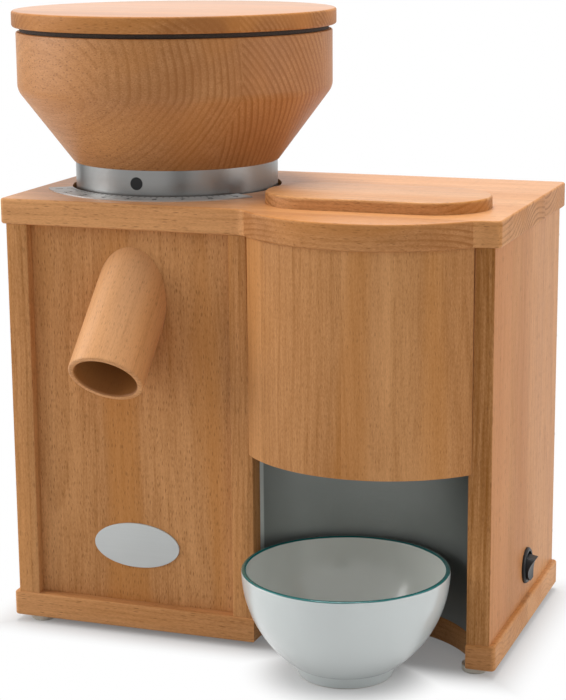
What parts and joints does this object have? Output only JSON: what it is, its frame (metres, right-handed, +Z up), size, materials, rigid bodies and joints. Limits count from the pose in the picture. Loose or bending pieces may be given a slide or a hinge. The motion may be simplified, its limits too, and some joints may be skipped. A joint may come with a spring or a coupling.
{
  "type": "electric grain mill",
  "caption": "Electric grain mill and flaker in a beech housing: stone mill under a turning wooden hopper, open flour spout, flaking rollers over a round recess with a catch bowl.",
  "frame": {"origin": "on the table, under the middle of the whole object's box, hopper lid and catch bowl included", "axes": "+Z up, -Y towards the front with the spout and the bowl, +X to the right seen from the front"},
  "size_m": [0.3458, 0.2758, 0.389],
  "materials": {
    "beech_boards": "oiled beech, satin",
    "beech_panels": "oiled beech with upright grain, satin",
    "beech_turned": "turned and oiled beech, satin",
    "plywood": "plain sanded plywood",
    "brushed_steel": "finely brushed",
    "bay_steel": "matt ground sheet",
    "bright_steel": "turned, bright",
    "frame_steel": "zinc plated",
    "cast_aluminium": "cast, matt",
    "rotor_iron": "laminated iron",
    "bronze": "sintered bronze, plain",
    "gear_plastic": "natural nylon",
    "nose_plastic": "glass-filled plastic",
    "millstone": "coarse bonded grit",
    "dark_felt": "soft dark seal",
    "black_rubber": "moulded rubber",
    "black_plastic": "moulded, semi-gloss",
    "cream_plastic": "smooth glide plastic",
    "porcelain": "clear glaze over white, dark green rim line"
  },
  "bodies": {
    "housing": {"base_board": "beech_boards", "top_board": "beech_boards", "left_side_panel": "beech_panels", "right_side_panel": "beech_panels", "middle_partition": "beech_panels", "front_panel": "beech_panels", "back_panel": "plywood", "curved_cover": "beech_panels", "bay_lining": "bay_steel", "bay_deck": "bay_steel", "feet": "cream_plastic", "name_plate": "brushed_steel", "scale_plate": "brushed_steel", "cable_inlet": "black_rubber", "back_screws": "bright_steel", "base_screws": "bright_steel", "board_dowels": "plywood", "top_board_screws": "bright_steel", "spout": "beech_turned", "mill_chamber": "plywood", "thread_ring": "nose_plastic", "shaft_seal": "dark_felt", "carrier_springs": "bright_steel", "mill_motor_case": "cast_aluminium", "mill_motor_bearings": "bright_steel", "motor_capacitor": "cream_plastic", "capacitor_strap": "bright_steel", "flaker_funnel": "bay_steel", "flaker_left_plate": "frame_steel", "flaker_right_plate": "frame_steel", "roller_bushes": "bronze", "flaker_motor_case": "cast_aluminium", "flake_chute": "bay_steel", "mill_switch_bezel": "black_plastic", "flaker_switch_bezel": "black_plastic"},
    "stone_lift": {"stone_carrier": "cast_aluminium", "upper_stone": "millstone"},
    "hopper": {"hopper_bowl": "beech_turned", "hopper_collar": "brushed_steel", "index_dot": "black_plastic", "hopper_nose": "nose_plastic"},
    "hopper_cover": {"hopper_lid": "beech_turned", "lid_seal": "dark_felt"},
    "mill_drive": {"mill_shaft": "bright_steel", "mill_motor_rotor": "rotor_iron", "cooling_fan": "nose_plastic", "stone_holder": "cast_aluminium", "lower_stone": "millstone", "stone_nut": "bright_steel"},
    "flaker_cover": {"flaker_lid": "beech_turned"},
    "front_roll": {"front_roller": "bright_steel", "front_roller_gear": "gear_plastic"},
    "rear_roll": {"rear_roller": "bright_steel", "rear_roller_gear": "gear_plastic", "drive_gear": "bronze"},
    "flaker_drive": {"flaker_pinion": "bright_steel", "flaker_motor_rotor": "rotor_iron"},
    "mill_rocker": {"mill_switch_rocker": "black_plastic"},
    "flaker_rocker": {"flaker_switch_rocker": "black_plastic"},
    "bowl": {"catch_bowl": "porcelain"}
  },
  "joints": [
    {"name": "stone_rise", "type": "slide", "parent": "housing", "child": "stone_lift", "axis": [0, 0, 1], "range_m": [-0.00045, 0.00045], "deforming": ["carrier_springs"]},
    {"name": "hopper_turn", "type": "hinge", "parent": "stone_lift", "child": "hopper", "pos_m": [-0.06938, 0.03441, 0.2765], "axis": [0, 0, 1], "range_deg": [-50, 50]},
    {"name": "hopper_lid_lift", "type": "slide", "parent": "hopper", "child": "hopper_cover", "axis": [0, 0, 1], "range_m": [0, 0.06]},
    {"name": "mill_spin", "type": "hinge", "parent": "housing", "child": "mill_drive", "pos_m": [-0.06938, 0.03441, 0.226], "axis": [0, 0, 1], "continuous": true},
    {"name": "flaker_lid_lift", "type": "slide", "parent": "housing", "child": "flaker_cover", "axis": [0, 0, 1], "range_m": [0, 0.04]},
    {"name": "rear_roll_spin", "type": "hinge", "parent": "housing", "child": "rear_roll", "pos_m": [0.08377, 0.00141, 0.196], "axis": [1, 0, 0], "continuous": true},
    {"name": "front_roll_spin", "type": "hinge", "parent": "housing", "child": "front_roll", "pos_m": [0.08377, -0.03459, 0.196], "axis": [1, 0, 0], "continuous": true},
    {"name": "flaker_motor_spin", "type": "hinge", "parent": "housing", "child": "flaker_drive", "pos_m": [0.08377, 0.04652, 0.17958], "axis": [1, 0, 0], "continuous": true},
    {"name": "mill_switch_tip", "type": "hinge", "parent": "housing", "child": "mill_rocker", "pos_m": [-0.14373, 0.03441, 0.0414], "axis": [0, 1, 0], "range_deg": [0, 24]},
    {"name": "flaker_switch_tip", "type": "hinge", "parent": "housing", "child": "flaker_rocker", "pos_m": [0.16327, 0.03441, 0.0414], "axis": [0, -1, 0], "range_deg": [0, 24]},
    {"name": "bowl_slide", "type": "slide", "parent": "housing", "child": "bowl", "axis": [0, -1, 0], "range_m": [0, 0.2]}
  ],
  "couplings": [
    {"joint": "stone_rise", "follows": "hopper_turn", "m_per_rad": 0.00047746},
    {"joint": "rear_roll_spin", "follows": "flaker_motor_spin", "ratio": -0.33333},
    {"joint": "front_roll_spin", "follows": "flaker_motor_spin", "ratio": 0.33333}
  ]
}
